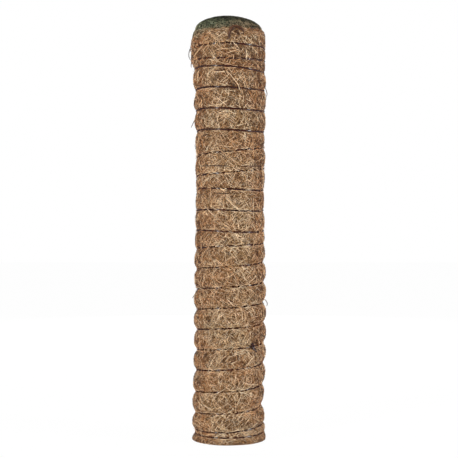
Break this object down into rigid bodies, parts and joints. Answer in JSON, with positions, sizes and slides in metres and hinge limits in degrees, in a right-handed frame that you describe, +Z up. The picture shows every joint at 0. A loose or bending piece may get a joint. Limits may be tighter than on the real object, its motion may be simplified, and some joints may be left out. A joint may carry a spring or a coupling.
{
  "type": "moss pole",
  "caption": "Coir moss pole for climbing house plants: a fibre mat bound with dark thread round a capped plastic pipe, with green netting over its domed top.",
  "frame": {"origin": "middle of the pole's foot, on the surface that it stands on", "axes": "+Z up along the pole; the side that the picture shows faces -Y, and +X is to its right"},
  "size_m": [0.0522, 0.053, 0.3],
  "materials": {
    "pipe": "satin",
    "netting": "matte",
    "band": "matte",
    "coir": "matte",
    "thread": "gloss"
  },
  "bodies": {
    "root": {"core_tube": "pipe", "end_cap": "pipe", "net_cap": "netting", "net_band": "band", "coir_mat": "coir", "binding_thread": "thread", "foot_knot": "thread", "top_knot": "thread"}
  },
  "joints": []
}
